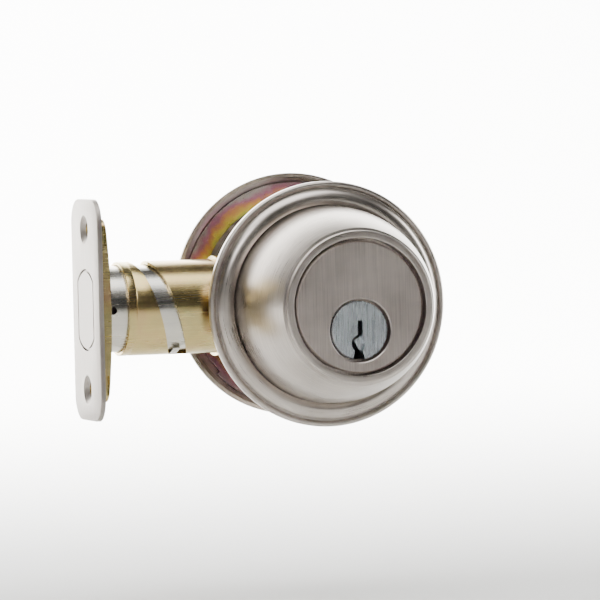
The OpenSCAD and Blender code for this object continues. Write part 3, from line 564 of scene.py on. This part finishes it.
for k in range(106):
    degrees = slot_from + (slot_to - slot_from) * k / 105
    x = slot_mid - slot_rise * min(degrees, slot_bend)
    a = math.radians(degrees)
    slot_loops.append([(x + dx, -r * math.cos(a), r * math.sin(a)) for r, dx in [
        (sleeve_bore - 0.0004, -slot_half), (sleeve_bore - 0.0004, slot_half),
        (sleeve_r + 0.001, slot_half), (sleeve_r + 0.001, -slot_half)]])
helical_slot = stack("helical_slot", slot_loops, yellow_zinc)
sleeve = carve(sleeve, [bore, helical_slot])
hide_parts("outer_sleeve")
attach(sleeve, "lock_body")

# Support plate: steel disc in iridescent yellow chromate, screwed to the door's inside.
# The film runs in rings of colour, from purple at the edge through orange and yellow to green.
plate_low, plate_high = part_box("support_plate")
plate_r = (plate_high.x - plate_low.x) / 2
plate_z = (plate_high.z + plate_low.z) / 2
iridescent = bpy.data.materials.new("iridescent_chromate")
iridescent.use_nodes = True
tree = iridescent.node_tree
shader = tree.nodes["Principled BSDF"]
shader.inputs["Metallic"].default_value = 1
place = add_node(tree, "ShaderNodeTexCoord").outputs["Object"]
moved = add_node(tree, "ShaderNodeMapping", {"Vector": place, "Location": (0, 0, -plate_z)}).outputs[0]
parts = add_node(tree, "ShaderNodeSeparateXYZ", {0: moved})
flat = add_node(tree, "ShaderNodeCombineXYZ", {0: parts.outputs[0], 2: parts.outputs[2]})
reach = add_node(tree, "ShaderNodeVectorMath", {0: flat.outputs[0]}, operation="LENGTH")
drift = add_node(tree, "ShaderNodeTexNoise",
                 {"Vector": place, "Scale": 75.0, "Detail": 5.0, "Roughness": 0.62, "Distortion": 0.4})
film = add_node(tree, "ShaderNodeMath", {0: reach.outputs["Value"], 1: 1 / plate_r},
                operation="MULTIPLY")
wander = add_node(tree, "ShaderNodeMath", {0: drift.outputs["Fac"], 1: 0.34}, operation="MULTIPLY")
film = add_node(tree, "ShaderNodeMath", {0: film.outputs[0], 1: wander.outputs[0]}, operation="ADD")
film_colour = add_node(tree, "ShaderNodeValToRGB", {"Fac": add_node(
    tree, "ShaderNodeMath", {0: film.outputs[0], 1: 0.17}, operation="SUBTRACT").outputs[0]})
film_ramp = film_colour.color_ramp
film_ramp.elements[0].position = 0.45
film_ramp.elements[0].color = linear("#A9AE6E")
film_ramp.elements[1].position = 1.0
film_ramp.elements[1].color = linear("#A29A9B")
for position, tint in [(0.72, "#B3A95E"), (0.81, "#9DAE5C"), (0.865, "#C9B552"),
                       (0.905, "#BF8C5E"), (0.945, "#A06E80")]:
    film_ramp.elements.new(position).color = linear(tint)
# Painted shade: lower down, the film colour is mixed up to 55 % towards a dark brown. It stands in for
# the shade that falls on the plate above the sleeve.
painted_shade_below = add_node(tree, "ShaderNodeMapRange",
                 {"Value": parts.outputs[2], "From Min": -0.012, "From Max": 0.014,
                  "To Min": 0.55, "To Max": 0.0})
painted_shade_mix = add_node(tree, "ShaderNodeMix",
                {0: painted_shade_below.outputs["Result"], 6: film_colour.outputs["Color"], 7: linear("#6E4A4C")},
                data_type="RGBA", blend_type="MIX")
tree.links.new(painted_shade_mix.outputs[2], shader.inputs["Base Color"])
grain = add_node(tree, "ShaderNodeTexNoise", {"Vector": place, "Scale": 2600.0, "Detail": 2.0})
rough = add_node(tree, "ShaderNodeMapRange", {"Value": grain.outputs["Fac"], "From Min": 0.3,
                                              "From Max": 0.7, "To Min": 0.26, "To Max": 0.42})
tree.links.new(rough.outputs["Result"], shader.inputs["Roughness"])
tree.links.new(add_node(tree, "ShaderNodeBump", {"Height": grain.outputs["Fac"], "Strength": 0.25,
                                                 "Distance": 0.00003}).outputs["Normal"],
               shader.inputs["Normal"])
finish_node(iridescent, "support_plate")

# Through bolts: steel machine screws in bright zinc, with a rolled thread and a socket head.
# They pass through the support plate and thread into the housing's posts.
bolts_low, bolts_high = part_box("through_bolts")
head_r = 0.004
shank_r = 0.0024
head_h = 0.0028
core_r = 0.0021
socket_r = 0.0015
socket_depth = 0.0018
thread_len = 0.009
thread_pitch = 0.0008
bolt_z = bolts_high.z - head_r
thread_tree = bpy.data.node_groups.new("rolled_thread", "GeometryNodeTree")
thread_tree.interface.new_socket("Geometry", in_out="OUTPUT", socket_type="NodeSocketGeometry")
for label in ("Radius", "Crest", "Length", "Pitch"):
    thread_tree.interface.new_socket(label, in_out="INPUT", socket_type="NodeSocketFloat")
thread_in = add_node(thread_tree, "NodeGroupInput")
turns = add_node(thread_tree, "ShaderNodeMath",
                 {0: thread_in.outputs["Length"], 1: thread_in.outputs["Pitch"]}, operation="DIVIDE")
helix = add_node(thread_tree, "GeometryNodeCurveSpiral",
                 {"Resolution": 28, "Rotations": turns.outputs[0],
                  "Start Radius": thread_in.outputs["Radius"],
                  "End Radius": thread_in.outputs["Radius"], "Height": thread_in.outputs["Length"]})
crest = add_node(thread_tree, "GeometryNodeCurvePrimitiveCircle",
                 {"Resolution": 4, "Radius": thread_in.outputs["Crest"]})
ridge = add_node(thread_tree, "GeometryNodeCurveToMesh",
                 {"Curve": helix.outputs["Curve"], "Profile Curve": crest.outputs["Curve"],
                  "Fill Caps": True})
whole = add_node(thread_tree, "GeometryNodeRealizeInstances", {"Geometry": ridge.outputs["Mesh"]})
dress = add_node(thread_tree, "GeometryNodeSetMaterial",
                 {"Geometry": whole.outputs["Geometry"], "Material": bright_zinc})
add_node(thread_tree, "NodeGroupOutput", {0: dress.outputs["Geometry"]})
bolt_parts = []
for side in (-1, 1):
    z = side * bolt_z
    length = (bolts_high.y - bolts_low.y) * 1000
    shank_end = length - head_h * 1000
    screw = lathe("through_bolt", round_corners([
        (0, 0), (core_r * 1000 - 0.3, 0), (core_r * 1000, 0.4), (core_r * 1000, thread_len * 1000),
        (shank_r * 1000, thread_len * 1000 + 0.4), (shank_r * 1000, shank_end),
        (head_r * 1000, shank_end, 0.25), (head_r * 1000, length, 0.5), (0, length)]),
        bolts_low.y, 1, bright_zinc, centre=(0, z), around=48)
    socket_y = bolts_high.y - socket_depth
    socket = stack("socket", [[(socket_r * math.cos(math.tau * k / 6), y,
                                z + socket_r * math.sin(math.tau * k / 6)) for k in range(6)]
                              for y in (socket_y, bolts_high.y + 0.001)], bright_zinc)
    bolt_parts.append(carve(screw, [socket]))
    bolt_parts.append(grow("thread", thread_tree,
                           {"Radius": core_r, "Crest": 0.00035, "Length": thread_len - 0.0009,
                            "Pitch": thread_pitch},
                           Matrix.Translation((0, bolts_low.y + 0.0006, z))
                           @ Matrix.Rotation(math.radians(-90), 4, "X"), bright_zinc))
joined = bmesh.new()
for part in bolt_parts:
    joined.from_mesh(part.data)
    bpy.data.objects.remove(part)
through_bolts = to_mesh("through_bolts_threaded", joined, bright_zinc)
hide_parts("through_bolts")
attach(through_bolts, "lock_body")

# Inside rose: a brass cover, pressed over the support plate, with its rim on the door.
# It is brushed round its centre and plated in satin nickel. Two countersunk screws hold it.
inner_low, inner_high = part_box("inside_rose")
seat_in = inner_low.y
inner_z = (inner_high.z + inner_low.z) / 2
inner_r = inner_high.x * 1000
crown = (inner_high.y - seat_in) * 1000
sheet = 1.0
dome_side = inner_r - 6.2
satin_nickel_cover = brushed_metal("satin_nickel_cover", "#A8A098", "#C9C1B9", 0.3, "round")
cover_outline = round_corners([
    (inner_r - sheet, 0), (inner_r, 0), (inner_r, 1.5, 0.7), (inner_r - 1.6, 1.5, 0.4),
    (inner_r - 2.2, 2.7, 0.8), (dome_side + 0.3, 2.7, 0.5), (dome_side, crown, 3.4),
    (0, crown), (0, crown - sheet), (dome_side - sheet, crown - sheet, 2.4),
    (dome_side - sheet, 1.4, 0.4), (inner_r - 2.2, 1.25), (inner_r - sheet, 0.6)], steps=10)
cover = lathe("inside_rose_pressed", cover_outline, seat_in, 1, satin_nickel_cover,
              centre=(0, inner_z), around=192)
bush_low, bush_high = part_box("turn_bushing")
bush_z = (bush_high.z + bush_low.z) / 2
screw_x = 0.0145
rose_screw_r = 1.9
sink_low_r = 2.2
sink_top_r = 3.5
bush_hole_r = 6.95
tools = [lathe("bush_hole", [(0, crown - 3), (bush_hole_r, crown - 3), (bush_hole_r, crown + 2),
                             (0, crown + 2)],
               seat_in, 1, satin_nickel_cover, centre=(0, bush_z), around=96)]
for side in (-1, 1):
    tools.append(lathe("sink", [(0, crown - 3), (rose_screw_r, crown - 3),
                                (rose_screw_r, crown - 0.8), (sink_low_r, crown - 0.8),
                                (sink_top_r, crown + 0.08), (0, crown + 0.08)],
                       seat_in, 1, satin_nickel_cover, centre=(side * screw_x, inner_z), around=64))
cover = carve(cover, tools)
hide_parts("inside_rose")
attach(cover, "lock_body")
finish_node(satin_nickel_upright, "rose_screws")

# Thumbturn: die-cast zinc, a round base with an upright grip, its edges rounded all over.
# It is brushed upright and plated like the rose, and a roll pin locks it to its spindle.
turn_low, turn_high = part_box("thumbturn")
turn_z = (turn_high.z + turn_low.z) / 2
base_r = turn_high.x * 1000
grip_h = turn_high.z - turn_low.z
grip_t = 0.007
base_t = 2.5
thumb_plating = brushed_metal("satin_nickel_cast", "#A8A098", "#C9C1B9", 0.3, "z", pitch=0.3,
                              depth=0.25)
spindle_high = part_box("turn_spindle")[1]
spindle_r = spindle_high.x * 1000
spindle_reach = (spindle_high.y - turn_low.y) * 1000
boss_r = spindle_r + 1.6
boss_top = spindle_reach + 1.2
base = lathe("thumbturn_cast", round_corners([
    (0, 0), (base_r, 0, 0.2), (base_r, base_t, 0.9), (boss_r, base_t, 0.5),
    (boss_r, boss_top, 0.9), (0, boss_top)], steps=8),
    turn_low.y, 1, thumb_plating, centre=(0, turn_z), around=96)
grip_start = turn_low.y + base_t / 1000 - 0.0004
grip_end = turn_high.y
edge = 0.0012


def grip_loop(y, inset):
    """Long rounded outline of the grip across Y."""
    half = grip_h / 2 - grip_t / 2
    radius = grip_t / 2 - inset
    loop = []
    for end in (1, -1):
        for k in range(25):
            a = math.pi * k / 24
            loop.append((end * radius * math.cos(a), y, turn_z + end * (half + radius * math.sin(a))))
    return loop


grip = stack("grip", [grip_loop(grip_start, 0)] + [
    grip_loop(grip_end - edge * (1 - math.sin(a)), edge * (1 - math.cos(a)))
    for a in [math.pi / 2 * k / 8 for k in range(9)]], thumb_plating)
thumb = carve(base, [grip], "UNION")
pin_low, pin_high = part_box("spindle_pin")
pin_y = (pin_low.y + pin_high.y) / 2
cross_pin_r = 0.001
spindle_hole = lathe("spindle_hole", [
    (0, -1), (spindle_r, -1), (spindle_r, spindle_reach), (0, spindle_reach)],
    turn_low.y, 1, thumb_plating, centre=(0, turn_z), around=96)
pin_hole = stack("pin_hole", [
    [(x, pin_y + cross_pin_r * math.cos(math.tau * k / 32),
      turn_z + cross_pin_r * math.sin(math.tau * k / 32))
     for k in range(32)] for x in (-0.01, 0.01)], thumb_plating)
thumb = carve(thumb, [spindle_hole, pin_hole])
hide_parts("thumbturn")
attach(thumb, "turnpiece")

# Spindle, its pins and its snap ring: turned bar, ground pins and a stamped ring, all steel.
# The spindle and the ring are hardened and oiled dark, and the pins are left bright.
finish_node(hardened_steel, "turn_spindle", "retaining_ring")
finish_node(drawn_steel, "spindle_pin")

# Wave washer: a ring of spring steel, pressed into three waves.
# It takes up the play between the snap ring and the bushing.
washer_low, washer_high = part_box("wave_washer")
washer_r = (washer_high.x - washer_low.x) / 2
washer_bore = 0.0052
washer_z = (washer_high.z + washer_low.z) / 2
strip_t = 0.0003
washer_mid = (washer_high.y + washer_low.y) / 2
wave = (washer_high.y - washer_low.y - strip_t) / 2
builder = bmesh.new()
rings = []
for k in range(120):
    a = math.tau * k / 120
    y = washer_mid + wave * math.cos(3 * a)
    rings.append([builder.verts.new((r * math.cos(a), y + dy, washer_z + r * math.sin(a)))
                  for r, dy in [(washer_bore, -strip_t / 2), (washer_r, -strip_t / 2),
                                (washer_r, strip_t / 2), (washer_bore, strip_t / 2)]])
for k, ring in enumerate(rings):
    following = rings[(k + 1) % len(rings)]
    for c in range(4):
        d = (c + 1) % 4
        builder.faces.new((ring[c], ring[d], following[d], following[c]))
washer = to_mesh("wave_washer_pressed", builder, drawn_steel)
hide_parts("wave_washer")
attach(washer, "turnpiece")

# Bushing: moulded natural nylon, pressed into the inside rose, where the spindle turns in it.
# Nylon is a little cloudy and lets some light in, so it looks soft and off-white.
nylon = bpy.data.materials.new("moulded_nylon")
nylon.use_nodes = True
tree = nylon.node_tree
shader = tree.nodes["Principled BSDF"]
shader.inputs["IOR"].default_value = 1.53
shader.inputs["Subsurface Weight"].default_value = 0.15
place = add_node(tree, "ShaderNodeTexCoord").outputs["Object"]
haze = add_node(tree, "ShaderNodeTexNoise", {"Vector": place, "Scale": 350.0, "Detail": 3.0})
tone = add_node(tree, "ShaderNodeValToRGB", {"Fac": haze.outputs["Fac"]})
tone.color_ramp.elements[0].color = linear("#DDD9CC")
tone.color_ramp.elements[1].color = linear("#EFECE2")
tree.links.new(tone.outputs["Color"], shader.inputs["Base Color"])
rough = add_node(tree, "ShaderNodeMapRange", {"Value": haze.outputs["Fac"], "To Min": 0.38,
                                              "To Max": 0.52})
tree.links.new(rough.outputs["Result"], shader.inputs["Roughness"])
finish_node(nylon, "turn_bushing")
